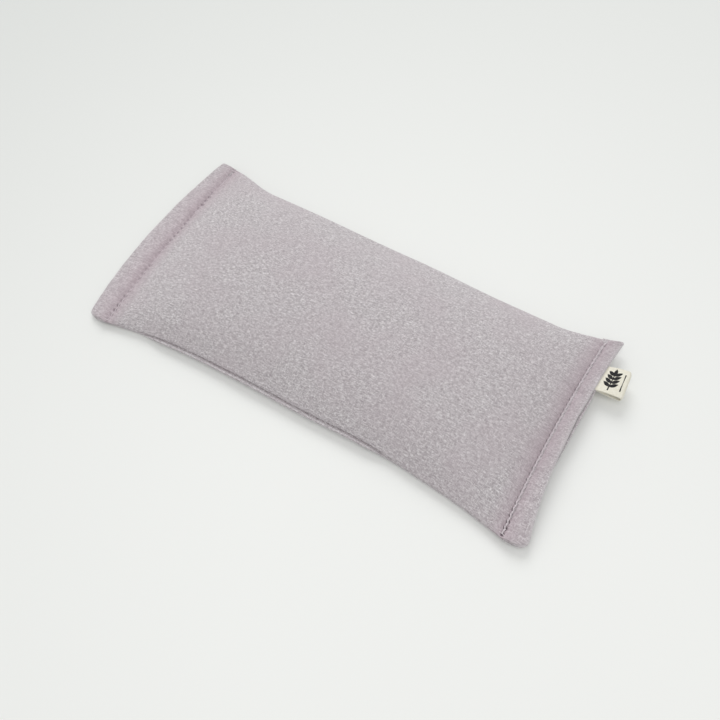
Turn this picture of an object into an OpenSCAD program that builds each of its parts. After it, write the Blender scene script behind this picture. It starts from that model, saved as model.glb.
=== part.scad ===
// Seed-filled eye pillow: a topstitched cloth cover around a sewn pouch of flax seed,
// lying flat. The origin is the middle of the underside, +X runs to the labelled end,
// +Y to the back long side and +Z up.
// The bag folds across its middle, so every piece that crosses x = 0 is drawn as a
// left and a right half that meet there.

/* [Cover] */
// Length over the two end flanges
cover_length = 240; // [200:1:280]
// Width across the corners
cover_width = 112; // [90:1:140]
// Height of the filled bag in its middle
crown_height = 21; // [16:0.5:26]
// How far the fill draws each long side in at mid length
side_pull_in = 4.5; // [0:0.5:8]
// Thickness of one ply of the cover cloth
cloth = 0.45; // [0.3:0.05:0.6]
// Width of the flat flange outside each row of topstitching
flange_width = 9; // [7:0.5:12]
// Height of the seam between the two panels above the underside
seam_height = 5; // [4:0.5:7]

/* [Pouch and fill] */
// Thickness of the pouch's muslin
muslin = 0.3; // [0.2:0.05:0.4]
// Space between the cover's end stitching and the pouch's end
pouch_end_gap = 3; // [2:0.5:8]
// Number of dried lavender buds in each half of the fill
bud_count = 9; // [3:1:14]
// Length of a lavender bud
bud_length = 4.5; // [3:0.5:6]

/* [Sewing] */
// Length of one topstitch
stitch_length = 3; // [2.5:0.5:4]
// Diameter of the sewing thread
thread = 0.4; // [0.3:0.05:0.5]

/* [Label] */
// Width of the folded cotton tape
label_width = 14.5; // [10:0.5:20]
// How far the tape's fold stands out of the end seam
label_reach = 11.5; // [8:0.5:20]
// Middle of the label, measured from the bag's centre line
label_offset = 33; // [0:1:36]
// Thickness of one ply of the tape
tape = 0.35; // [0.2:0.05:0.4]

/* [Hidden] */

left = -1;
right = 1;
front = -1;
back = 1;
up = 1;
down = -1;

// Plan of the bag.
half_length = cover_length / 2;
stitch_x = half_length - flange_width;
pouch_x = stitch_x - pouch_end_gap;

// Turned-in flange: each panel lies in two plies outside the topstitching.
flange_half = 2 * cloth;
flange_lap = 1;      // how far the flange's plies reach in under the swell

// Section of the bag. Depths are below the cover's outer face, and insets are
// from the cover's long edges.
top_fullness = crown_height - seam_height;
base_fullness = 1.6 * seam_height;  // more than seam_height, so the underside is flat
corner_round = 0.8;  // exponent of the section: 1 is an ellipse, and less is squarer
length_power = 3.2;
swell_power = 0.55;
layer_gap = 0.25;    // clearance between one layer and the next
rim = 2;             // width of the face where the two panels meet
muslin_rim = 1.2;    // the same on the pouch
pouch_depth = cloth + layer_gap;
pouch_inset = rim + layer_gap;
seeds_depth = pouch_depth + muslin + layer_gap;
seeds_inset = pouch_inset + muslin_rim + layer_gap;

arc_steps = 16;
station_count = 10;
cut_margin = 1;      // how far a cutting solid passes the face that it cuts through

// Stations along X that all layers share, closer together towards the end.
stations = [for (i = [0 : station_count]) pouch_x * sin(90 * i / station_count)];
cover_stations = concat(stations, [stitch_x]);

linen = "#bcb4b7";
muslin_cream = "#e6ddc9";
seed_brown = "#8a5a33";
lavender = "#6f6390";
thread_mauve = "#cbbfc6";
tape_cream = "#f1ead6";

function half_width(x) =
    cover_width / 2 - side_pull_in * (1 - pow(min(1, abs(x) / stitch_x), 4));

// How full the bag is at x: 1 in the middle and 0 from reach outwards.
function swell(x, reach) = pow(1 - pow(min(1, abs(x) / reach), length_power), swell_power);

function signed_power(value, power) = sign(value) * pow(abs(value), power);

function without_last(list, count) = [for (i = [0 : len(list) - 1 - count]) list[i]];

function reversed(list) = [for (i = [len(list) - 1 : -1 : 0]) list[i]];

// Closed solid through sections that all have the same number of points, listed
// anticlockwise as seen from beyond the last section.
module loft(sections) {
    n = len(sections[0]);
    last = len(sections) - 1;
    walls = [
        for (i = [0 : last - 1], j = [0 : n - 1])
            let (k = (j + 1) % n)
            [i * n + j, (i + 1) * n + j, (i + 1) * n + k, i * n + k]
    ];
    caps = [[for (j = [0 : n - 1]) j], [for (j = [n - 1 : -1 : 0]) last * n + j]];
    polyhedron([for (s = sections) each s], concat(walls, caps), convexity = 6);
}

// What is drawn for the right half also serves the left one.
module half(side) {
    mirror([side == left ? 1 : 0, 0, 0]) children();
}

// Lifts what is drawn on the seam plane to its place, or turns it over below it.
module from_seam(way) {
    translate([0, 0, seam_height]) mirror([0, 0, way == down ? 1 : 0]) children();
}

// One layer's solid above the seam plane, or turned over and pressed flat below it.
module dome(way, depth, inset, reach, xs, edge = 0.2, skirt = 0) {
    fullness = (way == up ? top_fullness : base_fullness) - depth;
    flat = way == up ? 2 * fullness : seam_height - depth;
    from_seam(way) intersection() {
        loft([
            for (x = xs)
                let (wide = half_width(x) - inset,
                     high = edge + (fullness - edge) * swell(x, reach))
                concat(
                    [for (i = [0 : arc_steps])
                        let (a = 180 * i / arc_steps)
                        [x, wide * signed_power(cos(a), corner_round),
                         high * pow(sin(a), corner_round)]],
                    skirt > 0 ? [[x, -wide, -skirt], [x, wide, -skirt]] : [])
        ]);
        translate([-2 * cut_margin, -cover_width, -cover_width])
            cube([cover_length, 2 * cover_width, cover_width + flat]);
    }
}

// The hollow that a layer's cloth leaves, drawn a little past its open faces.
module hollow(way, depth, inset, reach, xs) {
    dome(way, depth, inset, reach, concat([-cut_margin], xs), skirt = cut_margin);
}

module flange(way) {
    from_seam(way)
        translate([stitch_x - flange_lap, -cover_width / 2, 0])
            cube([flange_width + flange_lap, cover_width, flange_half]);
}

// Where the label's two plies lie between the two panels.
module label_pocket(margin) {
    caught = flange_width + 1;
    translate([half_length - caught, label_offset - label_width / 2, seam_height - tape])
        cube([caught + margin, label_width, 2 * tape]);
}

module cover_panel(side, way) {
    color(linen) half(side) difference() {
        union() {
            dome(way, 0, 0, stitch_x, cover_stations, edge = flange_half);
            flange(way);
        }
        hollow(way, cloth, rim, stitch_x, cover_stations);
        if (side == right) label_pocket(cut_margin);
    }
}

module pouch_panel(side, way) {
    color(muslin_cream) half(side) difference() {
        dome(way, pouch_depth, pouch_inset, pouch_x, stations);
        hollow(way, pouch_depth + muslin, pouch_inset + muslin_rim, pouch_x,
               without_last(stations, 1));
    }
}

// The loose seeds as the one mass that they fill.
module flax_seeds(side) {
    color(seed_brown) half(side)
        for (way = [up, down])
            dome(way, seeds_depth, seeds_inset, pouch_x, without_last(stations, 2),
                 skirt = layer_gap);
}

// One bud, pointed along X, with rounded ends.
module lavender_bud() {
    radius = bud_length / 4;
    straight = bud_length - 2 * radius;
    rotate([0, 90, 0]) cylinder(h = straight, r = radius, center = true, $fn = 16);
    for (end = [left, right])
        translate([end * straight / 2, 0, 0]) sphere(radius, $fn = 16);
}

// Buds spread through the seeds by the golden angle, as sunflower seeds are.
module lavender_buds(side) {
    golden_angle = 137.5;
    color(lavender) half(side)
        for (i = [0 : bud_count - 1])
            let (share = sqrt((i + 0.5) / bud_count), turn = i * golden_angle)
            translate([stitch_x * (0.48 + 0.34 * share * cos(turn)),
                       0.36 * cover_width * share * sin(turn),
                       seam_height + 3 + 2 * sin(3 * turn)])
                rotate([0, 20 * cos(turn), 2 * turn]) lavender_bud();
}

// Tube of thread through path, a list of [point, direction] in one level plane.
module thread_along(path) {
    sides = 6;
    loft([
        for (p = path) [
            for (i = [0 : sides - 1])
                let (a = 360 * i / sides, across = [-p[1].y, p[1].x, 0])
                p[0] + thread / 2 * (cos(a) * across + [0, 0, sin(a)])
        ]
    ]);
}

module side_seam_thread(side, edge) {
    color(thread_mauve) half(side) thread_along([
        for (x = cover_stations)
            [[x, edge * (half_width(x) - rim / 2), seam_height], [1, 0, 0]]
    ]);
}

// Runs along the front, around the end and back, in the middle of the pouch's rim.
module pouch_seam_thread(side) {
    inset = pouch_inset + muslin_rim / 2;
    corner = 3;
    end_x = pouch_x - muslin_rim / 2;
    straight_x = end_x - corner;
    corner_y = half_width(straight_x) - inset - corner;
    way_out = concat(
        [for (x = stations) if (x < straight_x - corner)
            [[x, half_width(x) - inset, seam_height], [1, 0, 0]]],
        [for (a = [90 : -15 : 0])
            [[straight_x + corner * cos(a), corner_y + corner * sin(a), seam_height],
             [sin(a), -cos(a), 0]]]);
    way_back = [
        for (p = reversed(way_out))
            [[p[0].x, -p[0].y, p[0].z], [-p[1].x, p[1].y, 0]]
    ];
    color(thread_mauve) half(side) thread_along(concat(way_out, way_back));
}

// The seam that closes the cover's left end before it is turned out.
module left_end_seam_thread() {
    from_edge = 1.5;
    color(thread_mauve)
        translate([from_edge - half_length, 0, seam_height])
            rotate([90, 0, 0])
                cylinder(h = cover_width - 2 * rim, r = thread / 2, center = true, $fn = 16);
}

// A row of stitches seen from its side. The threads lie on the flange and dip at each
// hole to the seam plane, where the needle's thread and the bobbin's lock.
module stitch_profile() {
    count = round((cover_width - 2 * rim) / stitch_length);
    start = -count * stitch_length / 2;
    dip = 0.5;
    wave = [
        for (i = [0 : count])
            let (y = start + i * stitch_length)
            each [[y - dip, flange_half], [y, 0], [y + dip, flange_half]]
    ];
    inside = [for (i = [1 : len(wave) - 2]) wave[i]];
    polygon(concat(inside, [for (p = reversed(inside)) p + [0, thread]]));
}

module topstitch_thread(side, way) {
    color(thread_mauve) from_seam(way)
        translate([side * stitch_x, 0, 0])
            rotate([90, 0, 90]) linear_extrude(thread, center = true) stitch_profile();
}

// The two ends of the label's tape, one on the other between the flange's plies.
module label_seam_end() {
    color(tape_cream) label_pocket(0);
}

// The folded tape outside the seam, seen along its fold: a slim teardrop whose round
// root lies on the seam.
module tape_loop_profile() {
    bend = 2 * tape;
    bend_x = label_reach - bend - tape;
    split = 2.5;
    difference() {
        union() {
            circle(tape, $fn = 32);
            polygon([[0, -tape], [bend_x, -bend], [bend_x, bend], [0, tape]]);
            translate([bend_x, 0]) circle(bend, $fn = 32);
        }
        polygon([[split, 0], [bend_x, -tape], [bend_x, tape]]);
        translate([bend_x, 0]) circle(tape, $fn = 32);
    }
}

module label_loop() {
    color(tape_cream)
        translate([half_length + tape, label_offset, seam_height])
            rotate([90, 0, 0]) linear_extrude(label_width, center = true) tape_loop_profile();
}

cover_panel(left, up);  // top_panel_left
cover_panel(right, up);  // top_panel_right
cover_panel(left, down);  // bottom_panel_left
cover_panel(right, down);  // bottom_panel_right
pouch_panel(left, up);  // pouch_top_left
pouch_panel(right, up);  // pouch_top_right
pouch_panel(left, down);  // pouch_bottom_left
pouch_panel(right, down);  // pouch_bottom_right
flax_seeds(left);  // flax_seeds_left
flax_seeds(right);  // flax_seeds_right
lavender_buds(left);  // lavender_buds_left
lavender_buds(right);  // lavender_buds_right
side_seam_thread(left, front);  // front_seam_thread_left
side_seam_thread(right, front);  // front_seam_thread_right
side_seam_thread(left, back);  // back_seam_thread_left
side_seam_thread(right, back);  // back_seam_thread_right
pouch_seam_thread(left);  // pouch_seam_thread_left
pouch_seam_thread(right);  // pouch_seam_thread_right
left_end_seam_thread();
topstitch_thread(left, up);  // left_topstitch_needle_thread
topstitch_thread(left, down);  // left_topstitch_bobbin_thread
topstitch_thread(right, up);  // right_topstitch_needle_thread
topstitch_thread(right, down);  // right_topstitch_bobbin_thread
label_seam_end();
label_loop();
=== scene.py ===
"""Looks of a seed-filled eye pillow: cloth cover, topstitching, folded tape label and fill."""

import math

import bpy
import numpy as np
from mathutils import Matrix, Vector


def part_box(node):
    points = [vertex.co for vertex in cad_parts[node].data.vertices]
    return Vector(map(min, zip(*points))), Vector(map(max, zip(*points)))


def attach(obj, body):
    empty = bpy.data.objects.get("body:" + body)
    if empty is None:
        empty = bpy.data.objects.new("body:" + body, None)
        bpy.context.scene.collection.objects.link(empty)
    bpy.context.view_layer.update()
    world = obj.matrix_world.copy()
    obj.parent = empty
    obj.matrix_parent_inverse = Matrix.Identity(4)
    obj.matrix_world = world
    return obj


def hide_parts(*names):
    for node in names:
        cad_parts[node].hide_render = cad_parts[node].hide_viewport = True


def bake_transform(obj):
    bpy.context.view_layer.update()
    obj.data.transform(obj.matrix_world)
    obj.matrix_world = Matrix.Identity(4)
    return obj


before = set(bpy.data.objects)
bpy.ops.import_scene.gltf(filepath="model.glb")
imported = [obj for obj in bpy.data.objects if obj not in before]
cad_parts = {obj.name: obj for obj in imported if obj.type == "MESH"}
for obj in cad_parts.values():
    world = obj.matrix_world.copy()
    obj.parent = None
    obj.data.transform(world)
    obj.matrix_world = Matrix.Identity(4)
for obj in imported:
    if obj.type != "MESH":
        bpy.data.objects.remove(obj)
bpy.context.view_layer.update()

MM = 0.001
TOP, BOTTOM = 1, -1
LEFT, RIGHT = -1, 1
FRONT, BACK = -1, 1

# Driving dimensions, from the frame.
HALF_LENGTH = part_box("top_panel_right")[1].x
HALF_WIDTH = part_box("top_panel_right")[1].y
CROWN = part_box("top_panel_right")[1].z
STITCH_X = sum(corner.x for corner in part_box("right_topstitch_needle_thread")) / 2
SEAM_Z = sum(corner.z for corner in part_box("front_seam_thread_left")) / 2
FLANGE = HALF_LENGTH - STITCH_X
LABEL_LOW, LABEL_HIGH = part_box("label_loop")
LABEL_Y = (LABEL_LOW.y + LABEL_HIGH.y) / 2
LABEL_WIDTH = LABEL_HIGH.y - LABEL_LOW.y
LABEL_TIP_X = LABEL_HIGH.x

PLY = 0.42 * MM  # one layer of the cover's cloth
FLANGE_HALF = 0.95 * MM  # half of the flange's four plies and the air between them
FLANGE_PUFF = {LEFT: 0.9 * MM, RIGHT: 0.6 * MM}  # how far its top face puffs up
ROW_RISE = 0.5 * MM  # from the seam plane to the cloth's face, pressed by the stitches
HOLE_DIP = 0.8 * MM  # how deep the cloth is pressed in at each needle hole
TURN_IN = 9.5 * MM  # cloth turned in at an end
CUT_HALF_LENGTH = STITCH_X + 2.5 * MM  # of the cloth between the stitch rows, which bulges
SEAM_VALLEY = 0.8 * MM  # the side seams lie this far in, between the panels' rolled edges
SEAM_ROLL = 0.8 * MM  # how much of the top panel rolls into them
# Where the bottom panel runs beside a side seam, in mm: for each distance over the cloth, how
# far out from the seam and up from it. It stands out as a lip, or tucks in under the bag.
SEAM_LIP = (
    (0, -0.9, 0), (0.6, -0.5, -0.35), (1.2, 0.4, -0.3), (1.7, 0.8, 0.25), (2.3, 1.35, 0.55),
    (2.9, 1.9, 0.25), (3.5, 2.05, -0.35), (4.3, 1.85, -1.15), (5.3, 1.2, -2.0), (6.5, 0.1, -2.8),
    (8.0, -1.4, -3.5), (16.0, -9.0, -4.5),
)
SEAM_TUCK = (
    (0, -0.9, 0), (0.6, -0.4, -0.35), (1.2, 0.0, -0.8), (1.7, 0.05, -1.3), (2.3, -0.1, -1.85),
    (2.9, -0.4, -2.4), (3.5, -0.8, -2.9), (4.3, -1.4, -3.4), (5.3, -2.2, -3.9), (6.5, -3.3, -4.2),
    (8.0, -4.7, -4.3), (16.0, -12.5, -4.4),
)
ALLOWANCE = np.array([0.35, 0.8, 1.4, 2.0]) * MM  # rows of the cloth turned in at a side seam
SWELLING = 4.0 * MM  # the crown starts this far below the CAD's, and rises as it settles
MUSLIN = 0.3 * MM
TAPE = 0.32 * MM
LAYER_GAP = 0.25 * MM
COVER_DEPTH = PLY + 2 * LAYER_GAP  # from the cover's face to the pouch's
POUCH_INSET = 2.4 * MM
THREAD = {LEFT: 0.55 * MM, RIGHT: 0.9 * MM}  # diameter at each end; the left is pulled thin
SEAM_THREAD = 0.4 * MM  # the same for the other seams
STITCH = 3 * MM
STITCH_COUNT = 36
UNDERSIDE_SHIFT = 134 * STITCH  # sets the underside's weave apart, its holes in step

SETTLING_SCALE = 10  # Blender's cloth likes metres, so the bag is larger while it settles
SETTLING_FRAMES = 26
SETTLING_LIMIT = 2.2 * MM  # no point moves further than this

# Columns and rows of faces in a panel of the cover and of the pouch, and in half the fill.
BODY_GRID = (120, 56)
POUCH_GRID = (72, 36)
FILL_GRID = (150, 74)


# ---------------------------------------------------------------- shape of the bag


def smooth(low, high, value):
    t = np.clip((value - low) / (high - low), 0, 1)
    return t * t * (3 - 2 * t)


def ripple(value, seed, waves, octaves=3):
    """Smooth, repeatable noise of about -1 to 1 along a coordinate that runs from -1 to 1."""
    random = np.random.default_rng(seed)
    total = np.zeros_like(value, dtype=float)
    for octave in range(octaves):
        count = waves * 2**octave
        phases = random.uniform(0, 2 * np.pi, 3)
        for stretch, phase in zip((0.8, 1.0, 1.27), phases):
            total += np.sin(np.pi * count * stretch * value + phase) / 2**octave / 3
    return total / 1.6


def side_y(x, side):
    """Where a side seam lies at x: the fill draws it in, more suddenly along the back, where
    the corners stand out like ears."""
    reach = np.clip(np.abs(x) / STITCH_X, 0, 1)
    if side == FRONT:
        right = 0.8 * smooth(5 * MM, 33 * MM, x) - 1.6 * smooth(42 * MM, 72 * MM, x)
        return -HALF_WIDTH + (6.9 - 8.1 * reach**4 + right * (1 - reach**4)) * MM
    left_ear = 0.8 * smooth(0, -60 * MM, x) + 6.0 * smooth(-80 * MM, -112 * MM, x)
    right_ear = 4.4 * smooth(88 * MM, 116 * MM, x) - 1.6 * smooth(10 * MM, 60 * MM, x)
    return HALF_WIDTH + (left_ear + right_ear - 4.8) * MM


def end_x(y, end, out):
    """Across the flange at an end: out is 0 on the stitch row and 1 at the edge."""
    v = y / HALF_WIDTH
    middle = np.clip(1 - v**2, 0, 1)
    if end == LEFT:
        bow = (1.4 + 3.6 * out) * middle + (2.0 - 1.2 * v) * out
    else:
        near_flare = 2.0 * out * np.clip(-v, 0, 1) ** 3
        bow = near_flare + 1.1 * (1 - out) * v - (1.8 + 2.2 * out) * middle
    return end * (STITCH_X + FLANGE * out + bow * MM)


def splay(y, end, out):
    """The back corners spread towards their tips."""
    spread = 2.4 if end == RIGHT else 1.0
    return y + spread * MM * out * np.clip(y / HALF_WIDTH, 0, 1) ** 2


def corner_share(y, end):
    """How much of the flange's width is left at y, where its corners are rounded off."""
    front, back = side_y(end * STITCH_X, FRONT), side_y(end * STITCH_X, BACK)
    far_radius, near_radius = (2.4 * MM, 3.2 * MM) if end == LEFT else (1.4 * MM, 4.8 * MM)
    radius = np.where(y > 0, far_radius, near_radius)
    from_side = np.minimum(y - front, back - y)
    past = np.clip(1 - from_side / radius, 0, 1)
    return 1 - radius / FLANGE * (1 - np.sqrt(1 - past**2))


def end_z(y, end, out):
    """Height of the seam plane across the flange: the left end droops, the right lifts."""
    v = y / HALF_WIDTH
    if end == LEFT:
        stitch = (3.9 - 1.0 * np.clip(-v, 0, 1) ** 2) * MM
        edge = (2.5 + 0.5 * v - 0.9 * np.clip(-v, 0, 1) ** 4) * MM
    else:
        stitch = (5.2 + 0.4 * v - 1.3 * np.clip(-v, 0, 1) ** 2) * MM
        edge = (6.9 - 3.9 * np.clip(-v, 0, 1) ** 3 - 0.8 * np.clip(v, 0, 1) ** 3) * MM
    share = smooth(0, 1, out) if end == LEFT else out**2
    return stitch + (edge - stitch) * share


def seam_z(x, y):
    """Height of the seam plane between the stitch rows."""
    reach = np.clip(np.abs(x) / STITCH_X, 0, 1) ** 5
    ends = np.where(x < 0, end_z(y, LEFT, 0), end_z(y, RIGHT, 0))
    near = np.clip(-y / HALF_WIDTH, 0, 1) ** 2
    to_ends = 1.0 * smooth(20 * MM, 90 * MM, x) + 0.8 * smooth(-30 * MM, -95 * MM, x)
    drop = 0.9 + to_ends - 0.35 * ripple(x / HALF_LENGTH, 23, 5, 2)
    middle = SEAM_Z - drop * near * MM
    return middle + (ends - middle) * reach


def lumps(x, y):
    """The uneven lie of the seeds under the cloth."""
    broad = np.sin(x / (17 * MM) + 1.3) * np.sin(y / (13 * MM) + 0.4)
    fine = np.sin(x / (7.1 * MM) + y / (11 * MM)) * np.sin(y / (6.3 * MM) - x / (19 * MM))
    return (0.26 * broad + 0.08 * fine) * MM


def section(side, fullness, width, steps=160):
    """From the front seam to the back seam: offsets across and up, as arrays. The underside
    is squarer, because the floor flattens it."""
    angle = np.linspace(0, np.pi, steps)
    if side == TOP:
        across = -np.cos(angle)
        up = (1 - np.abs(across) ** 2.2) ** 0.56
    else:
        across = -np.sign(np.cos(angle)) * np.abs(np.cos(angle)) ** 0.42
        up = np.sin(angle) ** 0.62
    return across * width, side * up * fullness


def distances(points):
    """How far along a line through the points each of them lies."""
    steps = np.linalg.norm(np.diff(points, axis=0), axis=1)
    return np.concatenate([[0], np.cumsum(steps)])


def refined(points, factor):
    """The same route with points added on a smooth curve through it."""
    count = len(points)
    result = []
    for k in range(count - 1):
        before, a = points[max(k - 1, 0)], points[k]
        b, after = points[k + 1], points[min(k + 2, count - 1)]
        for t in np.arange(factor) / factor:
            result.append(
                0.5 * (2 * a + (b - before) * t + (2 * before - 5 * a + 4 * b - after) * t**2
                       + (3 * a - before - 3 * b + after) * t**3)
            )
    result.append(points[-1])
    return np.array(result)


def bag_surface(side, depth, inset, columns, rows):
    """Points (columns + 1, rows + 1, 3) of one panel between its seams, evenly spaced over
    the cloth. depth and inset shrink it for the layers inside."""
    shares = np.linspace(0, 1, rows + 1)
    points = np.empty((columns + 1, rows + 1, 3))
    full = CROWN - SEAM_Z - SWELLING if side == TOP else 1.5 * SEAM_Z
    for i, u in enumerate(np.linspace(-1, 1, columns + 1)):
        swell = max(0.0, 1 - abs(u) ** 5) ** 0.76
        x = u * STITCH_X
        front, back = side_y(x, FRONT) + inset, side_y(x, BACK) - inset
        across, up = section(side, max(0.0, (full - depth) * swell), (back - front) / 2)
        y = (front + back) / 2 + across
        walked = distances(np.stack([y, up], axis=-1))
        y, up = (np.interp(shares, walked / walked[-1], values) for values in (y, up))
        start, end = end_x(y, LEFT, 0), end_x(y, RIGHT, 0)
        plan_x = start + (end - start) * (u + 1) / 2
        plan_x -= np.sign(u) * inset * abs(u) ** 6
        height = seam_z(x, y) + up
        if side == TOP:
            height += lumps(plan_x, y) * np.clip(up / (6 * MM), 0, 1)
        points[i] = np.stack([plan_x, y, height], axis=-1)
    return points if side == TOP else on_floor(points, depth)


def on_floor(points, height=0.0):
    """Presses points flat where they would be under the height, with a soft bend there."""
    out = points.copy()
    above = out[..., 2] - height
    softness = 0.35 * MM
    out[..., 2] = height + (above + np.sqrt(above**2 + softness**2)) / 2
    flat = above < -2 * softness
    out[..., 2] = np.where(flat, height, out[..., 2])
    return out


# ---------------------------------------------------------------- cloth simulation


def grid_faces(index):
    """The four-sided faces between the points that index numbers, column by column."""
    columns, rows = index.shape
    return [
        (index[i, j], index[i + 1, j], index[i + 1, j + 1], index[i, j + 1])
        for i in range(columns - 1)
        for j in range(rows - 1)
    ]


def sewn_mesh(top, bottom):
    """One closed mesh of both panels, which share the points of their seams."""
    columns, rows = top.shape[0] - 1, top.shape[1] - 1
    upper = np.arange(top[..., 0].size).reshape(top.shape[:2])
    lower = upper.copy()
    inside = (slice(1, columns), slice(1, rows))
    lower[inside] = upper.size + np.arange(lower[inside].size).reshape(lower[inside].shape)
    points = np.concatenate([top.reshape(-1, 3), bottom[inside].reshape(-1, 3)])
    faces = grid_faces(upper) + [face[::-1] for face in grid_faces(lower)]
    seam = np.unique(np.concatenate([upper[0], upper[-1], upper[:, 0], upper[:, -1]]))
    return points, faces, upper, lower, seam


def cut_shape(columns, rows, size, layers):
    """Where the same points lie in the flat cut cloth."""
    cut = np.zeros((size, 3))
    for index in layers:
        cut[index, 0] = np.linspace(-CUT_HALF_LENGTH, CUT_HALF_LENGTH, columns)[:, None]
        cut[index, 1] = np.linspace(-HALF_WIDTH, HALF_WIDTH, rows)
    return cut


def blown_up(bag, rest_shape, seam):
    """Runs Blender's cloth on the bag under pressure, its seams held, and gives its points."""
    held = bag.vertex_groups.new(name="seams")
    held.add(seam.tolist(), 1.0, "REPLACE")
    cloth = bag.modifiers.new("cloth", "CLOTH")
    settings = cloth.settings
    settings.quality = 6
    settings.mass = 0.15
    settings.tension_stiffness = settings.compression_stiffness = 25
    settings.shear_stiffness = 12
    settings.bending_stiffness = 1.2
    settings.tension_damping = settings.compression_damping = 12
    settings.air_damping = 3
    settings.effector_weights.gravity = 0
    settings.use_pressure = True
    settings.uniform_pressure_force = 1.4
    settings.vertex_group_mass = held.name
    settings.rest_shape_key = rest_shape
    cloth.collision_settings.use_collision = False
    cloth.collision_settings.use_self_collision = False

    scene = bpy.context.scene
    for step in range(1, SETTLING_FRAMES + 1):
        scene.frame_set(step)
    moved = bag.evaluated_get(bpy.context.evaluated_depsgraph_get()).data
    found = np.empty(len(moved.vertices) * 3)
    moved.vertices.foreach_get("co", found)
    scene.frame_set(1)
    return found.reshape(-1, 3)


def settled(top, bottom):
    """Lets both panels' cloth find its own shape under the fill's pressure, sewn together at
    their seams, and returns their new points."""
    points, faces, upper, lower, seam = sewn_mesh(top, bottom)
    cut = cut_shape(*top.shape[:2], len(points), (lower, upper))
    mesh = bpy.data.meshes.new("settling")
    mesh.from_pydata((points * SETTLING_SCALE).tolist(), [], faces)
    bag = bpy.data.objects.new("settling", mesh)
    bpy.context.collection.objects.link(bag)
    bag.shape_key_add(name="Basis")
    key = bag.shape_key_add(name="cut")
    key.data.foreach_set("co", (cut * SETTLING_SCALE).ravel())
    shift = blown_up(bag, key, seam) / SETTLING_SCALE - points
    bpy.data.objects.remove(bag)

    length = np.linalg.norm(shift, axis=1, keepdims=True)
    shift *= SETTLING_LIMIT * np.tanh(length / SETTLING_LIMIT) / np.maximum(length, 1e-9)
    shift *= smooth(0, 15 * MM, CUT_HALF_LENGTH - np.abs(cut[:, :1]))
    found = points + shift
    return found[upper], on_floor(found[lower])


def doubled_rows(grid):
    """The same surface with a row added midway between each two, on a smooth curve."""
    before, after = 2 * grid[:, :1] - grid[:, 1:2], 2 * grid[:, -1:] - grid[:, -2:-1]
    wide = np.concatenate([before, grid, after], axis=1)
    between = (9 * (wide[:, 1:-2] + wide[:, 2:-1]) - wide[:, :-3] - wide[:, 3:]) / 16
    rows = np.empty((grid.shape[0], 2 * grid.shape[1] - 1, 3))
    rows[:, ::2] = grid
    rows[:, 1::2] = between
    return rows


# ---------------------------------------------------------------- meshes


def new_object(name, points, faces, material, uv=None):
    """A mesh object, with uv as one (u, v) in metres for each point."""
    mesh = bpy.data.meshes.new(name)
    mesh.from_pydata(np.asarray(points).reshape(-1, 3).tolist(), [], faces)
    mesh.materials.append(material)
    if uv is not None:
        layer = mesh.uv_layers.new(name="cut")
        corners = np.empty(len(mesh.loops), int)
        mesh.loops.foreach_get("vertex_index", corners)
        layer.data.foreach_set("uv", np.asarray(uv)[corners].ravel())
    mesh.polygons.foreach_set("use_smooth", [True] * len(mesh.polygons))
    mesh.validate()
    piece = bpy.data.objects.new(name, mesh)
    bpy.context.collection.objects.link(piece)
    return piece


def grid_object(name, grid, uv, material, side=TOP):
    """A mesh object from points in columns and rows, facing up or, at the bottom, down."""
    faces = grid_faces(np.arange(grid[..., 0].size).reshape(grid.shape[:2]))
    if side == BOTTOM:
        faces = [face[::-1] for face in faces]
    return new_object(name, grid, faces, material, uv.reshape(-1, 2))


def apply_modifiers(piece):
    graph = bpy.context.evaluated_depsgraph_get()
    mesh = bpy.data.meshes.new_from_object(piece.evaluated_get(graph))
    old = piece.data
    piece.modifiers.clear()
    piece.data = mesh
    mesh.name = piece.name
    bpy.data.meshes.remove(old)
    return piece


def thickened(piece, thickness, subdivisions=0):
    if subdivisions:
        piece.modifiers.new("smooth", "SUBSURF").levels = subdivisions
    solid = piece.modifiers.new("thickness", "SOLIDIFY")
    solid.thickness = thickness
    solid.offset = -1
    return apply_modifiers(piece)


def puckers(v, end):
    """Small waves along an end, where the stitching has drawn the cloth up."""
    height = (0.42 if end == LEFT else 0.68) * MM
    return height * ripple(v, 11 + 3 * end, 12, 2)


def row_dip(v, from_row):
    """How much the stitching presses the cloth in, v metres along the row and from_row off
    it: a shallow groove, deeper at each needle hole."""
    at_hole = (0.5 + 0.5 * np.cos(2 * np.pi * v / STITCH)) ** 2
    at_hole = at_hole * (np.abs(v) < (STITCH_COUNT + 1) * STITCH / 2)
    return HOLE_DIP * (0.3 + 0.7 * at_hole) * np.exp(-((from_row / (0.8 * MM)) ** 2))


def fold_overhang(end, side, v):
    """How far a panel's fold stands out past the end's edge. In mid edge the bottom panel's
    stands out further than the top panel's."""
    overhang = 0.1 * MM + 0.2 * MM * ripple(v / HALF_WIDTH, 5 + side, 4)
    if side == BOTTOM:
        mid_edge = (1.6 if end == RIGHT else 0.4) * MM
        from_mid = (v / HALF_WIDTH - 0.2) / 0.55
        overhang = overhang - 0.3 * MM + mid_edge * np.clip(1 - from_mid**2, 0, 1)
    return overhang


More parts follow.
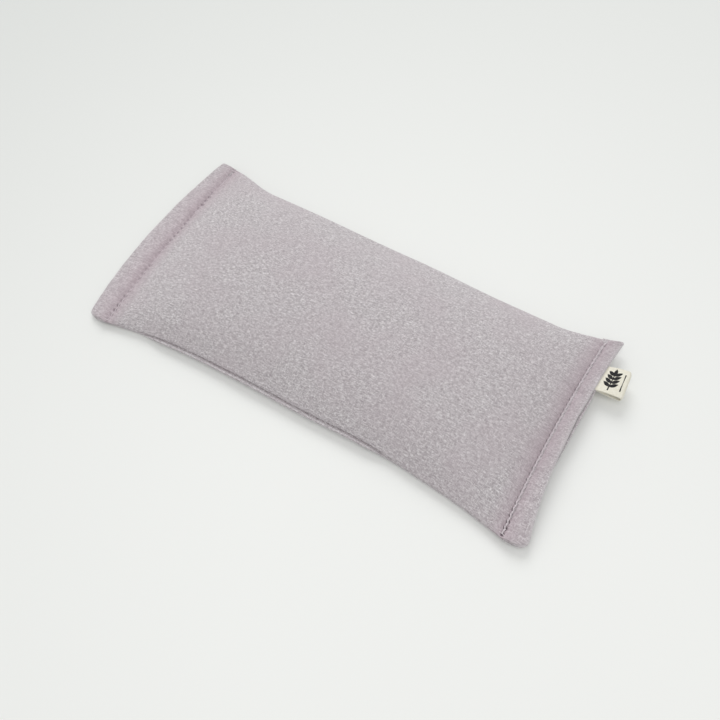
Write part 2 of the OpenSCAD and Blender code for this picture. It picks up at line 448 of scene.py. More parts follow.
def flange_columns(end, side, y_row, v):
    """The cloth beyond a stitch row: out over the flange, round the fold and back inside.
    Gives its points (columns, rows, 3) and each column's distance over the cloth."""
    wave = puckers(v / HALF_WIDTH, end)
    room = corner_share(y_row, end)
    edge = end_x(y_row, end, room) + end * fold_overhang(end, side, v) * room
    inner = 0.05 * MM  # from the seam plane to the cloth that is turned in
    radius = (FLANGE_HALF - inner) / 2
    points, walked = [], []

    def add_column(x, out, rise, distance):
        z = end_z(y_row, end, out) + wave * (1 - 0.6 * out) + side * rise
        points.append(np.stack([x, splay(y_row, end, out), z], axis=-1))
        walked.append(distance)

    for out in (0.06, 0.12, 0.2, 0.32, 0.46, 0.6, 0.75, 0.88, 0.96):
        puff = FLANGE_PUFF[end] * smooth(0, 0.35, out) * smooth(1.12, 0.85, out)
        if side == BOTTOM:
            puff = 0.4 * puff
        rise = ROW_RISE + (FLANGE_HALF - ROW_RISE) * smooth(0.02, 0.3, out)
        rise = rise + puff - row_dip(v, out * FLANGE)
        add_column(end_x(y_row, end, out * room), out, rise, out * FLANGE)
    for turn in np.linspace(-np.pi / 2, np.pi / 2, 7):
        x = edge + end * radius * (np.cos(turn) - 1)
        rise = FLANGE_HALF - radius - radius * np.sin(turn)
        add_column(x, 1, rise, FLANGE + radius * (turn + np.pi / 2))
    for back in TURN_IN * np.linspace(0.12, 1, 6):
        x = edge - end * (radius + back * room)
        add_column(x, max(1 - back / FLANGE, 0), inner, FLANGE + np.pi * radius + back)
    return np.array(points), np.array(walked)


def points_at(wanted, places, grid, axis):
    """The grid's points at the wanted places along one axis, where its own are at places."""
    return np.apply_along_axis(lambda line: np.interp(wanted, places, line), axis, grid)


def with_end_columns(body, along):
    """Adds two columns beside each stitch row, so that the dips at the holes have a shape."""
    extra = np.array([0.45, 1.0]) * MM
    wanted = np.sort(np.concatenate([along, extra - CUT_HALF_LENGTH, CUT_HALF_LENGTH - extra]))
    return points_at(wanted, along, body, 0), wanted


def panel(name, side, body, material):
    """One panel of the cover, from turned-in end to turned-in end."""
    body = doubled_rows(body)
    along = np.linspace(-CUT_HALF_LENGTH, CUT_HALF_LENGTH, body.shape[0])
    body, along = with_end_columns(body, along)
    cut = np.linspace(-HALF_WIDTH, HALF_WIDTH, body.shape[1])
    # The plies hold the cloth off the seam plane at each stitch row.
    from_end = (CUT_HALF_LENGTH - np.abs(along))[:, None]
    body[..., 2] += side * (ROW_RISE * np.exp(-from_end / (4 * MM)) - row_dip(cut, from_end))
    for end in (LEFT, RIGHT):
        share = np.where(along[:, None] * end > 0, np.exp(-from_end / (8 * MM)), 0)
        body[..., 2] += share * puckers(cut / HALF_WIDTH, end)
    left, left_walk = flange_columns(LEFT, side, body[0, :, 1], cut)
    right, right_walk = flange_columns(RIGHT, side, body[-1, :, 1], cut)
    grid = np.concatenate([left[::-1], body, right])
    u = np.concatenate([-CUT_HALF_LENGTH - left_walk[::-1], along, CUT_HALF_LENGTH + right_walk])
    grid, v = with_side_seams(grid, u, cut, side)

    shift = UNDERSIDE_SHIFT if side == BOTTOM else 0
    uv = np.stack(np.meshgrid(u, v + shift, indexing="ij"), axis=-1)
    return thickened(grid_object(name, grid, uv, material, side), PLY, 1)


def with_side_seams(grid, u, cut, side):
    """Rolls the cloth into the valley of each side seam, then adds the allowance that is
    turned in between the panels. Gives the points and the rows' places across the cloth."""
    near = np.array([0.15, 0.35, 0.6, 0.8, 1.2, 1.45, 1.7, 2.3, 2.6, 2.9, 3.2, 3.5, 4.5]) * MM
    v = np.unique(np.concatenate([cut, near - HALF_WIDTH, HALF_WIDTH - near]).round(6))
    spread = points_at(v, cut, grid, 1)
    middle = np.array([seam_plane(u_i, spread[i]) for i, u_i in enumerate(u)])
    from_seam = HALF_WIDTH - np.abs(v)
    between = smooth(HALF_LENGTH, STITCH_X - 14 * MM, np.abs(u))[:, None]
    closed = side * 0.03 * MM
    away = np.clip(from_seam / SEAM_ROLL, 0, 1)
    hug = np.sqrt(1 - (1 - away) ** 2)
    spread[..., 2] = middle + (spread[..., 2] - middle) * hug + closed * (1 - hug)
    roll = smooth(0, 0.8 * MM, from_seam) * smooth(4.5 * MM, 1.0 * MM, from_seam)
    valley = SEAM_VALLEY * (0.4 + 0.6 * between) * (1 - away) ** 2
    spread[..., 1] += np.sign(v) * (0.35 * MM * roll * between - valley)
    if side == BOTTOM:
        seam_y = np.where(v < 0, spread[:, :1, 1], spread[:, -1:, 1]) + np.sign(v) * SEAM_VALLEY
        along_seam = smooth(-102 * MM, -78 * MM, u) * (1 - smooth(36 * MM, 70 * MM, u))
        lip = np.where(v < 0, along_seam[:, None], 0)
        out, up = under_seam(from_seam, lip)
        share = between * smooth(16 * MM, 8 * MM, from_seam)
        spread[..., 1] += share * (seam_y + np.sign(v) * out - spread[..., 1])
        spread[..., 2] += share * (middle + up - spread[..., 2])
        spread = on_floor(spread)
    front = turned_in(spread[:, 0], middle[:, 0] + closed, 1)[:, ::-1]
    back = turned_in(spread[:, -1], middle[:, -1] + closed, -1)
    places = [v[0] - ALLOWANCE[::-1], v, v[-1] + ALLOWANCE]
    return np.concatenate([front, spread, back], axis=1), np.concatenate(places)


def turned_in(edge, height, inward):
    """The rows that run in between the panels from the edge of one, at the seam's height."""
    rows = np.repeat(edge[:, None], ALLOWANCE.size, axis=1)
    rows[..., 1] += inward * ALLOWANCE
    rows[..., 2] = height[:, None]
    return rows


def under_seam(from_seam, lip):
    """How the bottom panel runs beside a side seam: out and up from it, for each distance
    over the cloth. lip is 1 where it stands out and 0 where it tucks in."""
    curves = [refined(np.array(points) * MM, 4) for points in (SEAM_TUCK, SEAM_LIP)]
    tuck, stand = (
        [np.interp(from_seam, curve[:, 0], curve[:, axis]) for axis in (1, 2)] for curve in curves
    )
    return [(1 - lip) * a + lip * b for a, b in zip(tuck, stand)]


def seam_plane(u, row):
    """Height of the seam plane under one column of a panel, u along the cloth."""
    x, y = row[:, 0], row[:, 1]
    beyond = abs(u) - CUT_HALF_LENGTH
    if beyond <= 0:
        return seam_z(np.full_like(x, u / CUT_HALF_LENGTH * STITCH_X), y)
    end = RIGHT if u > 0 else LEFT
    out = np.clip((np.abs(x) - STITCH_X) / FLANGE, 0, 1)
    return end_z(y, end, out)


# ---------------------------------------------------------------- materials


class Shader:
    """A material's node tree, built a node at a time."""

    def __init__(self, name):
        self.material = bpy.data.materials.new(name)
        self.material.use_nodes = True
        self.tree = self.material.node_tree
        self.bsdf = self.tree.nodes["Principled BSDF"]

    def link(self, value, socket):
        if isinstance(value, bpy.types.NodeSocket):
            self.tree.links.new(value, socket)
        elif value is not None:
            socket.default_value = value

    def node(self, kind, inputs=(), **settings):
        node = self.tree.nodes.new(kind)
        for key, value in settings.items():
            setattr(node, key, value)
        for key, value in dict(inputs).items():
            self.link(value, node.inputs[key])
        return node

    def math(self, operation, a, b=None, c=None):
        node = self.node("ShaderNodeMath", operation=operation)
        for socket, value in zip(node.inputs, (a, b, c)):
            self.link(value, socket)
        return node.outputs[0]

    def mix(self, share, a, b):
        node = self.node("ShaderNodeMix", data_type="RGBA")
        self.link(share, node.inputs[0])
        color_a, color_b = node.inputs[6], node.inputs[7]
        for value, socket in ((a, color_a), (b, color_b)):
            self.link((*value, 1.0) if isinstance(value, tuple) else value, socket)
        return node.outputs[2]

    def range(self, value, low, high, to_low=0.0, to_high=1.0):
        node = self.node("ShaderNodeMapRange")
        for socket, given in zip(node.inputs, (value, low, high, to_low, to_high)):
            self.link(given, socket)
        return node.outputs[0]

    def position(self, source="UV"):
        """The parts (u, v) of the cloth's own coordinates, or (x, y, z) of the object's."""
        coordinates = self.node("ShaderNodeTexCoord").outputs[source]
        return self.node("ShaderNodeSeparateXYZ", {"Vector": coordinates}).outputs

    def vector(self, x, y, z=0.0):
        return self.node("ShaderNodeCombineXYZ", {"X": x, "Y": y, "Z": z}).outputs[0]

    def noise(self, vector, scale, detail=2.0, roughness=0.5):
        node = self.node(
            "ShaderNodeTexNoise",
            {"Vector": vector, "Scale": scale, "Detail": detail, "Roughness": roughness},
        )
        return node.outputs[0]

    def finish(self, color, roughness, height=None, depth=0.1 * MM, sheen=0.0):
        self.link(color, self.bsdf.inputs["Base Color"])
        self.link(roughness, self.bsdf.inputs["Roughness"])
        self.bsdf.inputs["Specular IOR Level"].default_value = 0.25
        self.bsdf.inputs["Sheen Weight"].default_value = sheen
        self.bsdf.inputs["Sheen Roughness"].default_value = 0.6
        if height is not None:
            bump = self.node("ShaderNodeBump", {"Height": height, "Distance": depth})
            self.link(bump.outputs[0], self.bsdf.inputs["Normal"])
        return self.material


def woven(shader, u, v, pitch):
    """Plain weave: which thread is on top, its height, and each thread's own numbers."""
    along_u, along_v = (shader.math("DIVIDE", part, pitch) for part in (u, v))
    column, row = (shader.math("FLOOR", part) for part in (along_u, along_v))
    turn = shader.math("ADD", column, row)
    warp_up = shader.math("PINGPONG", turn, 1.0)
    round_u, round_v = (
        shader.math("SINE", shader.math("MULTIPLY", shader.math("FRACT", part), math.pi))
        for part in (along_u, along_v)
    )
    # A warp thread runs along u, so it is round across v and arches over along u.
    warp_height = shader.math("MULTIPLY", round_v, shader.math("MULTIPLY_ADD", round_u, 0.5, 0.5))
    weft_height = shader.math("MULTIPLY", round_u, shader.math("MULTIPLY_ADD", round_v, 0.5, 0.5))
    height = shader.math(
        "ADD",
        shader.math("MULTIPLY", warp_height, warp_up),
        shader.math("MULTIPLY", weft_height, shader.math("SUBTRACT", 1.0, warp_up)),
    )
    return warp_up, height, column, row


def thread_tone(shader, along, thread, frequency, seed):
    """How pale a thread is at each place along it: every thread has its own course."""
    place = shader.vector(
        shader.math("MULTIPLY", along, frequency), shader.math("MULTIPLY", thread, 1.37), seed
    )
    return shader.range(shader.noise(place, 1.0, 2.0, 0.6), 0.36, 0.64)


def flecks(shader, u, v, along, across, seed, low, high):
    """Short, slightly curved streaks, sparse enough to read one by one."""
    bend = shader.noise(shader.vector(u, v, seed), 400.0, 1.0)
    u, v = (shader.math("MULTIPLY_ADD", bend, 1.3 * MM, part) for part in (u, v))
    u, v = shader.math("MULTIPLY", u, along), shader.math("MULTIPLY", v, across)
    return shader.range(shader.noise(shader.vector(u, v, seed), 1.0, 1.0), low, high)


def needle_holes(shader, from_row, v):
    """1 at each needle hole of the topstitching, 0 elsewhere."""
    step = shader.math("FRACT", shader.math("MULTIPLY_ADD", v, 1 / STITCH, 0.5))
    along_row = shader.math("MULTIPLY", shader.math("SUBTRACT", step, 0.5), STITCH)
    squares = shader.math("MULTIPLY", from_row, from_row)
    distance = shader.math("SQRT", shader.math("MULTIPLY_ADD", along_row, along_row, squares))
    return shader.range(distance, 0.6 * MM, 1.15 * MM, 1.0, 0.0)


def with_sewn_ends(shader, color, u, v):
    """The cloth's colour, with painted shade, darker and pinker, beside each stitch row, a pale
    line along the right end's fold that is partly wear and partly painted highlight, and painted
    shade in the needle holes."""
    from_row = shader.math("SUBTRACT", shader.math("ABSOLUTE", u), CUT_HALF_LENGTH)
    # Painted shade, darker and pinker, within 9 mm of each stitch row, where the cloth creases.
    painted_crease_shade = shader.range(shader.math("ABSOLUTE", from_row), 0.0, 9 * MM, 0.55, 0.0)
    color = shader.mix(painted_crease_shade, color, (0.5, 0.385, 0.435))
    # A pale line along the right end's fold: partly wear, partly a painted highlight on the fold's
    # edge.
    from_fold = shader.math("ABSOLUTE", shader.math("SUBTRACT", u, CUT_HALF_LENGTH + FLANGE))
    fold_wear_and_highlight = shader.range(from_fold, 0.2 * MM, 1.1 * MM, 0.45, 0.0)
    color = shader.mix(fold_wear_and_highlight, color, (0.84, 0.8, 0.82))
    # The painted shade in the holes is full along the right row, weaker and patchy along the left.
    along_row = shader.noise(shader.vector(v, 0.0), 55.0, 1.0)
    left_share = shader.range(along_row, 0.4, 0.58, 0, 0.6)
    right_share = shader.range(u, -0.1, 0.1, 0, 0.9)
    hole_shade_share = shader.math("MAXIMUM", left_share, right_share)
    holes = shader.math("MULTIPLY", needle_holes(shader, from_row, v), hole_shade_share)
    # Painted shade darkens each needle hole.
    return shader.mix(holes, color, (0.16, 0.12, 0.14))


def chambray():
    """Lilac warp and greyer weft, each thread spun unevenly, so that pale and dark flecks run
    along both."""
    shader = Shader("chambray")
    u, v, _ = shader.position()
    warp_up, weave, column, row = woven(shader, u, v, 0.56 * MM)
    warp_tone = thread_tone(shader, u, row, 330, 2.0)
    weft_tone = thread_tone(shader, v, column, 420, 9.0)
    warp = shader.mix(warp_tone, (0.41, 0.365, 0.39), (0.66, 0.615, 0.635))
    weft = shader.mix(weft_tone, (0.45, 0.41, 0.425), (0.63, 0.59, 0.605))
    color = shader.mix(warp_up, weft, warp)
    for along, across, seed, low, high, strength, shade in (
        (480, 2250, 0.0, 0.5, 0.66, 0.68, (0.84, 0.805, 0.82)),
        (460, 2150, 5.0, 0.5, 0.66, 0.68, (0.33, 0.285, 0.31)),
        (1900, 600, 3.0, 0.55, 0.7, 0.65, (0.86, 0.83, 0.845)),
        (340, 1900, 7.0, 0.66, 0.74, 0.85, (0.93, 0.9, 0.915)),
    ):
        streaks = flecks(shader, u, v, along, across, seed, low, high)
        color = shader.mix(shader.math("MULTIPLY", streaks, strength), color, shade)
    # Broad, faint unevenness of the dye.
    dye = shader.noise(shader.vector(u, v), 30.0, 3.0)
    color = shader.mix(shader.range(dye, 0.4, 0.65, 0, 0.35), color, (0.555, 0.475, 0.51))
    color = with_sewn_ends(shader, color, u, v)
    slubs = shader.math("ADD", warp_tone, weft_tone)
    height = shader.math("MULTIPLY_ADD", slubs, 0.45, weave)
    roughness = shader.range(weave, 0, 1, 0.95, 0.82)
    return shader.finish(color, roughness, height, 0.12 * MM, sheen=0.18)


def muslin():
    shader = Shader("muslin")
    u, v, _ = shader.position()
    warp_up, weave, _, row = woven(shader, u, v, 0.5 * MM)
    drift = shader.noise(shader.vector(shader.math("MULTIPLY", u, 60), row), 1.0)
    color = shader.mix(shader.range(drift, 0.3, 0.7), (0.7, 0.63, 0.5), (0.82, 0.76, 0.64))
    color = shader.mix(shader.math("MULTIPLY", warp_up, 0.15), color, (0.6, 0.53, 0.4))
    return shader.finish(color, 0.9, weave, 0.08 * MM)


def seed_mass():
    """Flax seeds packed against the cloth: one pointed oval cell each, glossy brown, with painted
    shade in the gaps between them.
    """
    shader = Shader("flax_seed")
    x, y, z = shader.position("Object")
    place = shader.vector(x, shader.math("MULTIPLY", y, 1.7), z)
    cells = shader.node("ShaderNodeTexVoronoi", {"Vector": place, "Scale": 330.0})
    hue = shader.node("ShaderNodeSeparateColor", {"Color": cells.outputs["Color"]}).outputs[0]
    color = shader.mix(hue, (0.13, 0.045, 0.016), (0.33, 0.15, 0.06))
    # Painted shade darkens the gaps between the seeds.
    gap = shader.range(cells.outputs["Distance"], 0.35, 0.65)
    color = shader.mix(gap, color, (0.04, 0.018, 0.01))
    height = shader.math("SUBTRACT", 1.0, cells.outputs["Distance"])
    return shader.finish(color, shader.range(gap, 0, 1, 0.3, 0.8), height, 0.6 * MM)


def bud():
    """Dried lavender: dull violet with a fine dry grain."""
    shader = Shader("lavender_bud")
    x, y, z = shader.position("Object")
    grain = shader.noise(shader.vector(shader.math("MULTIPLY", x, 300), y, z), 900.0, 3.0)
    color = shader.mix(shader.range(grain, 0.35, 0.65), (0.1, 0.075, 0.2), (0.24, 0.2, 0.36))
    return shader.finish(color, 0.85, grain, 0.15 * MM)


def spun_thread(name, dark, light):
    shader = Shader(name)
    x, y, z = shader.position("Object")
    fibre = shader.noise(shader.vector(x, y, z), 2600.0, 3.0, 0.7)
    color = shader.mix(shader.range(fibre, 0.35, 0.65), dark, light)
    return shader.finish(color, 0.7, fibre, 0.05 * MM, sheen=0.2)


def tape_cloth():
    """Cream cotton tape: a fine close weave, flecked with paler threads."""
    shader = Shader("label_tape")
    u, v, _ = shader.position()
    warp_up, weave, *_ = woven(shader, u, v, 0.36 * MM)
    fleck = shader.noise(shader.vector(u, v), 900.0, 2.0)
    color = shader.mix(shader.range(fleck, 0.35, 0.7), (0.86, 0.82, 0.7), (0.93, 0.9, 0.8))
    color = shader.mix(shader.math("MULTIPLY", warp_up, 0.12), color, (0.74, 0.69, 0.56))
    return shader.finish(color, 0.85, weave, 0.06 * MM, sheen=0.1)


def ink():
    shader = Shader("label_ink")
    x, y, z = shader.position("Object")
    wear = shader.noise(shader.vector(x, y, z), 1800.0, 2.0)
    color = shader.mix(shader.range(wear, 0.45, 0.75), (0.014, 0.014, 0.016), (0.05, 0.048, 0.046))
    return shader.finish(color, 0.75, wear, 0.02 * MM)


def floor_with_painted_light():
    """A pale table, with painted shade greying it towards the back left and a painted pool of light
    brightest around the bag.
    """
    shader = Shader("floor")
    x, y, z = shader.position("Object")
    # Painted shade: the colour falls off towards the back left.
    across = shader.math("MULTIPLY_ADD", x, 0.8, shader.math("MULTIPLY", y, -0.6))
    cloudy = shader.noise(shader.vector(x, y, z), 3.0, 1.0)
    across = shader.math("MULTIPLY_ADD", cloudy, 0.05, across)
    # Painted pool of light, brightest around the bag.
    squares = shader.math("MULTIPLY_ADD", x, x, shader.math("MULTIPLY", y, y))
    near = shader.math("POWER", 0.5, shader.math("MULTIPLY", squares, 25.0))
    across = shader.math("MULTIPLY_ADD", near, 0.3, across)
    share = shader.range(across, -0.3, 0.36)
    color = shader.mix(share, (0.715, 0.727, 0.713), (0.905, 0.91, 0.895))
    return shader.finish(color, 0.7)


# ---------------------------------------------------------------- thread


def directions_across(path):
    """Two directions across the path at each of its points, turning no more than it does."""
    step = np.gradient(path, axis=0)
    ahead = step / np.linalg.norm(step, axis=1, keepdims=True)
    guide = np.array([0.0, 0.0, 1.0])
    if abs(ahead[0] @ guide) > 0.9:
        guide = np.array([1.0, 0.0, 0.0])
    across = []
    for direction in ahead:
        guide = guide - direction * (guide @ direction)
        guide /= np.linalg.norm(guide)
        across.append(guide)
    return np.array(across), np.cross(ahead, across)


def tube(path, radius, sides=7, twist=0.0):
    """Points and faces of a capped tube along path. With twist, in turns a metre, it is two
    plies wound round each other."""
    across, upward = directions_across(path)
    walked = distances(path)
    strands = [(radius, 0.0, 0.0)]
    if twist:
        strands = [(radius * 0.56, radius * 0.5, phase) for phase in (0.0, np.pi)]
    points, faces = [], []
    for ply, offset, phase in strands:
        first = len(points)
        wind = (2 * np.pi * twist * walked + phase)[:, None]
        centre = path + offset * (np.cos(wind) * across + np.sin(wind) * upward)
        for k in range(len(path)):
            for s in range(sides):
                angle = 2 * np.pi * s / sides
                outward = np.cos(angle) * across[k] + np.sin(angle) * upward[k]
                points.append(centre[k] + ply * outward)
        for k in range(len(path) - 1):
            for s in range(sides):
                a, b = first + k * sides + s, first + k * sides + (s + 1) % sides
                faces.append((a, b, b + sides, a + sides))
        faces.append(tuple(first + s for s in range(sides))[::-1])
        faces.append(tuple(first + (len(path) - 1) * sides + s for s in range(sides)))
    return points, faces


def thread_piece(name, paths, material, radius, twist=900.0):
    points, faces = [], []
    for path in paths:
        more_points, more_faces = tube(path, radius, twist=twist)
        faces += [tuple(corner + len(points) for corner in face) for face in more_faces]
        points += more_points
    return new_object(name, points, faces, material)


def lockstitch(holes, place, side, surface, factor=3):
    """A thread that passes over the cloth from hole to hole, and down each hole to the lock
    in the middle. place gives a point of the seam plane for a distance along the seam."""
    # Shares of the way to the next hole, with the height there as a share of the surface.
    arch = ((0, -1.0), (0.2, -0.9), (0.33, 0.6), (0.5, 1.3), (0.67, 0.6), (0.8, -0.9))
    points = []
    for hole, following in zip(holes[:-1], holes[1:]):
        for part, height in arch:
            point = np.array(place(hole + part * (following - hole)))
            points.append(point + (0, 0, side * height * surface))
    return refined(np.array(points), factor)


def topstitch_path(end, side):
    front, back = side_y(end * STITCH_X, FRONT), side_y(end * STITCH_X, BACK)
    holes = (np.arange(STITCH_COUNT + 1) - STITCH_COUNT / 2) * STITCH

    def place(v):
        y = front + (back - front) * (v / HALF_WIDTH + 1) / 2
        between = (v / STITCH) % 1
        slant = 0.7 * MM * (between - 0.5) * (0.05 < between < 0.95)
        return end_x(y, end, 0) + slant, y, end_z(y, end, 0) + puckers(v / HALF_WIDTH, end)

    # The left row is pulled tighter, down between the cloth's waves.
    surface = ROW_RISE + (0.3 * MM if end == RIGHT else -0.3 * MM)
    return lockstitch(holes, place, side, surface)


def side_seam_paths(edge):
    """Needle and bobbin thread of a hidden side seam, through both turned-in allowances."""
    reach = HALF_LENGTH - 1.5 * MM
    holes = np.linspace(-reach, reach, 96)

    def place(x):
        y = side_y(x, edge) - edge * (SEAM_VALLEY + 1.0 * MM)
        end = RIGHT if x > 0 else LEFT
        out = (abs(x) - STITCH_X) / FLANGE
        return x, y, seam_z(x, y) if out < 0 else end_z(y, end, out)

    return [lockstitch(holes, place, side, PLY + 0.15 * MM, 1) for side in (TOP, BOTTOM)]


def end_seam_path():
    """The seam that closes the left end before the cover is turned out."""
    holes = np.linspace(4 * MM - HALF_WIDTH, HALF_WIDTH - 4 * MM, 40)

    def place(y):
        z = end_z(y, LEFT, 1) + 0.4 * puckers(y / HALF_WIDTH, LEFT)
        return end_x(y, LEFT, 1) + 1.6 * MM, y, z

    return lockstitch(holes, place, TOP, 0.15 * MM, 1)


def pouch_rim(surface):
    """The closed line on which the pouch's panels are sewn together, 1 mm inside their edge,
    with the distance along that edge."""
    edge = np.concatenate([surface[:, 0], surface[-1, 1:], surface[-2::-1, -1], surface[0, -2::-1]])
    return edge - np.sign(edge) * (MM, MM, 0), distances(edge)


def pouch_seam_paths():
    line, walked = pouch_rim(bag_surface(TOP, COVER_DEPTH, POUCH_INSET, *POUCH_GRID))
    holes = np.arange(0, walked[-1], 2.8 * MM)

    def place(distance):
        return [np.interp(distance, walked, line[:, axis]) for axis in range(3)]

    return [lockstitch(holes, place, side, MUSLIN + 0.15 * MM, 1) for side in (TOP, BOTTOM)]


# ---------------------------------------------------------------- label


def label_route():
    """The tape seen from the side, from inside the flange out to the fold and back: how far
    each point is past the edge and above the seam plane. Also gives the distances walked."""
    root = -(FLANGE / MM + 0.5)
    tip = (LABEL_TIP_X - HALF_LENGTH) / MM + 0.5
    bend = 1.35
    upper = [(root, 0.2), (-2, 0.2), (1.0, 0.35), (4.0, 1.0), (7.5, 1.4)]
    lower = [(7.5, -1.3), (4.0, -1.1), (1.0, -0.4), (-2, -0.2), (root, -0.2)]
    fold = [
        (tip - bend + bend * math.cos(angle), 0.22 + bend * math.sin(angle))
        for angle in np.radians(np.linspace(80, -80, 9))
    ]
    route = refined(np.array([(x, 0.0, z) for x, z in upper + fold + lower]) * MM, 4)
    return route, distances(route)


def on_label(route, walked, distance, y_share, lift=0.0):
    """A point of the tape's outer face: distance along it, y_share from -1 to 1 across it."""
    x = np.interp(distance, walked, route[:, 0])
    z = np.interp(distance, walked, route[:, 2])
    step = 0.1 * MM
    ahead, rise = (
        np.interp(distance + step, walked, values) - np.interp(distance - step, walked, values)
        for values in (route[:, 0], route[:, 2])
    )
    length = np.hypot(ahead, rise) + 1e-12
    x = x - rise / length * lift
    z = z + ahead / length * lift
    y = LABEL_Y + y_share * LABEL_WIDTH / 2
    free = np.clip(x / (10 * MM), 0, 1)
    edge = end_x(y, RIGHT, 1)
    plane = end_z(y, RIGHT, np.clip(1 + x / FLANGE, 0, 1))
    # The free end skews towards the back and its near corner hangs a little.
    x = x - (1.1 * y_share + 0.6 * np.abs(y_share) ** 8) * MM * free
    y = y + 1.0 * MM * free
    z = z + plane + free * (0.5 * y_share - 0.1) * MM
    z = z + 0.16 * MM * np.sin(2.6 * y_share + 0.5) * free
    return np.stack(np.broadcast_arrays(edge + x, y, z), axis=-1)


def label_tape(material):
    route, walked = label_route()
    lengths = walked[::2]
    shares = np.linspace(-1, 1, 17)
    grid = np.array([on_label(route, walked, d, shares) for d in lengths])
    uv = np.stack(np.meshgrid(lengths, shares * LABEL_WIDTH / 2, indexing="ij"), axis=-1)
    return thickened(grid_object("label", grid, uv, material), TAPE, 1)


def leaf_outline(length, width, steps=14):
    """A pointed oval from its stalk at the origin along +X."""
    t = np.linspace(0, 1, steps)
    half = width / 2 * np.sin(np.pi * t) ** 0.8 * (1.15 - 0.4 * t)
    upper, lower = (np.stack([t * length, edge], -1) for edge in (half, -half))
    return np.concatenate([upper, lower[-2:0:-1]])


def turned(outline, degrees, move):
    a = math.radians(degrees)
    turn = np.array([[math.cos(a), -math.sin(a)], [math.sin(a), math.cos(a)]])
    return outline @ turn.T + np.array(move)


def label_print(material):
    """A sprig printed on the upper face: a stem with pairs of leaves, and a rule beside it."""
    route, walked = label_route()
    start = np.interp(0.0, route[: len(route) // 2, 0], walked[: len(route) // 2])
    stem_x, stem_from, stem_to = 4.7 * MM, -5.6 * MM, 3.4 * MM
    rule_x, rule_y = 9.6 * MM, 0.2 * MM
    bar = np.array([(-0.5, -0.5), (0.5, -0.5), (0.5, 0.5), (-0.5, 0.5)])
    leaf = leaf_outline(4.1 * MM, 1.8 * MM)
    tip_leaf = leaf_outline(3.4 * MM, 1.8 * MM)
    shapes = [bar * (0.5 * MM, stem_to - stem_from) + (stem_x, (stem_from + stem_to) / 2)]
    for y in np.linspace(-3.6 * MM, 2.6 * MM, 4):
        shapes += [turned(leaf, 90 - way * 54, (stem_x, y)) for way in (-1, 1)]
    shapes.append(turned(tip_leaf, 90, (stem_x, stem_to - 0.3 * MM)))
    shapes.append(bar * (0.6 * MM, 9 * MM) + (rule_x, rule_y))
    points, faces = [], []
    for outline in shapes:
        centre = outline.mean(0)
        rings = [centre + (outline - centre) * share for share in (0.34, 0.67, 1.0)]
        flat = np.concatenate([[centre], *rings])
        first, n = len(points), len(outline)
        for s, y in flat:
            points.append(on_label(route, walked, start + s, y / (LABEL_WIDTH / 2), 0.02 * MM))
        for k in range(n):
            a, b = first + 1 + k, first + 1 + (k + 1) % n
            faces.append((first, a, b))
            for ring in range(2):
                faces.append((a + ring * n, a + (ring + 1) * n, b + (ring + 1) * n, b + ring * n))
    return new_object("label_print", points, faces, material)


# ---------------------------------------------------------------- pouch and fill


def pouch_panel(name, side, material):
    """Half of the muslin pouch: a shallow dish that is sewn to the other along its edge."""
    grid = bag_surface(side, COVER_DEPTH, POUCH_INSET, *POUCH_GRID)
    return thickened(grid_object(name, grid, grid[..., :2], material, side), MUSLIN)


def flax_fill(material):
    """The seeds' mass as one closed mesh, a little shorter than the pouch."""
    depth = COVER_DEPTH + MUSLIN + LAYER_GAP
    inset = POUCH_INSET + 1.5 * MM
    upper, lower = (bag_surface(side, depth, inset, *FILL_GRID) for side in (TOP, BOTTOM))
    points, faces, *_ = sewn_mesh(upper, lower)
    points[:, 0] *= 1 - 4 * MM / STITCH_X
    return new_object("flax_seeds", points, faces, material)


# ---------------------------------------------------------------- the pieces

linen = chambray()
muslin_cloth = muslin()
mauve_thread = spun_thread("mauve_thread", (0.6, 0.53, 0.565), (0.84, 0.78, 0.81))
cream_tape = tape_cloth()


def whole(piece):
    """A piece that runs from end to end, in place of the two halves of its CAD solid."""
    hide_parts(piece.name + "_left", piece.name + "_right")
    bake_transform(piece)
    return piece


top = bag_surface(TOP, 0, 0, *BODY_GRID)
bottom = bag_surface(BOTTOM, 0, 0, *BODY_GRID)
top, bottom = settled(top, bottom)

fill = whole(flax_fill(seed_mass()))
pouch_cloth = [
    whole(pouch_panel(name, side, muslin_cloth))
    for name, side in (("pouch_top", TOP), ("pouch_bottom", BOTTOM))
]
cover = [
    whole(panel(name, side, body, linen))
    for name, side, body in (("top_panel", TOP, top), ("bottom_panel", BOTTOM, bottom))
]
for name, paths in (
    ("front_seam_thread", side_seam_paths(FRONT)),
    ("back_seam_thread", side_seam_paths(BACK)),
    ("pouch_seam_thread", pouch_seam_paths()),
):
    whole(thread_piece(name, paths, mauve_thread, SEAM_THREAD / 2, twist=0))

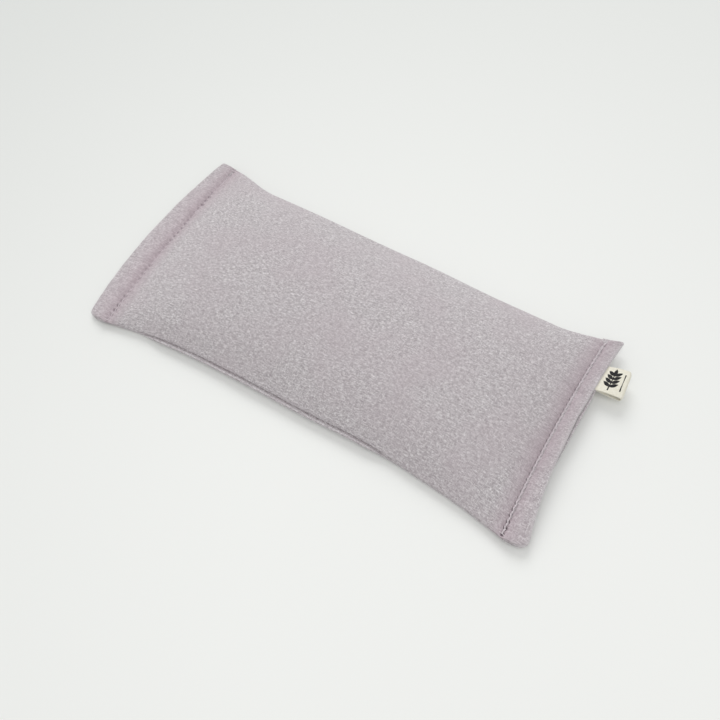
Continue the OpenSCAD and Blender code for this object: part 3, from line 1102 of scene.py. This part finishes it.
end_threads = {"left_end_seam_thread": (LEFT, end_seam_path())}
for end, end_name in ((LEFT, "left"), (RIGHT, "right")):
    for side, thread_name in ((TOP, "needle"), (BOTTOM, "bobbin")):
        node = f"{end_name}_topstitch_{thread_name}_thread"
        end_threads[node] = (end, topstitch_path(end, side))
for node, (end, path) in end_threads.items():
    piece = thread_piece(node + "_twist", [path], mauve_thread, THREAD[end] / 2)
    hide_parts(node)
    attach(piece, "left_half" if end == LEFT else "right_half")

for node in ("lavender_buds_left", "lavender_buds_right"):
    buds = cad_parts[node].data
    buds.materials.clear()
    buds.materials.append(bud())

label = label_tape(cream_tape)
mark = label_print(ink())
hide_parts("label_loop", "label_seam_end")
for piece in (label, mark):
    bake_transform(piece)

# ---------------------------------------------------------------- floor, light and camera

floor_reach = 6.0
floor_corners = np.array([(-1, -1, 0), (1, -1, 0), (1, 1, 0), (-1, 1, 0)]) * floor_reach
floor = new_object("floor", floor_corners, [(0, 1, 2, 3)], floor_with_painted_light())

world = bpy.data.worlds.new("studio")
world.use_nodes = True
background = world.node_tree.nodes["Background"]
background.inputs["Color"].default_value = (0.99, 1.0, 0.985, 1)
background.inputs["Strength"].default_value = 0.58
bpy.context.scene.world = world


def softbox(name, place, size, watts):
    lamp = bpy.data.lights.new(name, "AREA")
    lamp.shape = "DISK"
    lamp.size = size
    lamp.energy = watts
    lamp_object = bpy.data.objects.new(name, lamp)
    lamp_object.location = place
    lamp_object.rotation_euler = (-Vector(place)).to_track_quat("-Z", "Y").to_euler()
    bpy.context.collection.objects.link(lamp_object)


softbox("window", (-1.2, 1.7, 1.65), size=1.7, watts=28.0)
softbox("ceiling", (0.3, -0.6, 2.4), size=1.6, watts=12.0)

camera = bpy.data.objects.new("camera", bpy.data.cameras.new("camera"))
bpy.context.collection.objects.link(camera)
camera.data.lens = 38
camera.data.clip_start = 0.01
camera_place = Vector((0.1192, -0.1529, 0.3268))
forward = Vector((-0.2874, 0.3818, -0.8784)).normalized()
right = Vector((0.8559, 0.5141, -0.0566))
right = (right - forward * right.dot(forward)).normalized()
up = right.cross(forward)
facing = Matrix((right, up, -forward)).transposed().to_4x4()
camera.matrix_world = Matrix.Translation(camera_place) @ facing
bpy.context.scene.camera = camera
bpy.context.scene.view_settings.view_transform = "Standard"
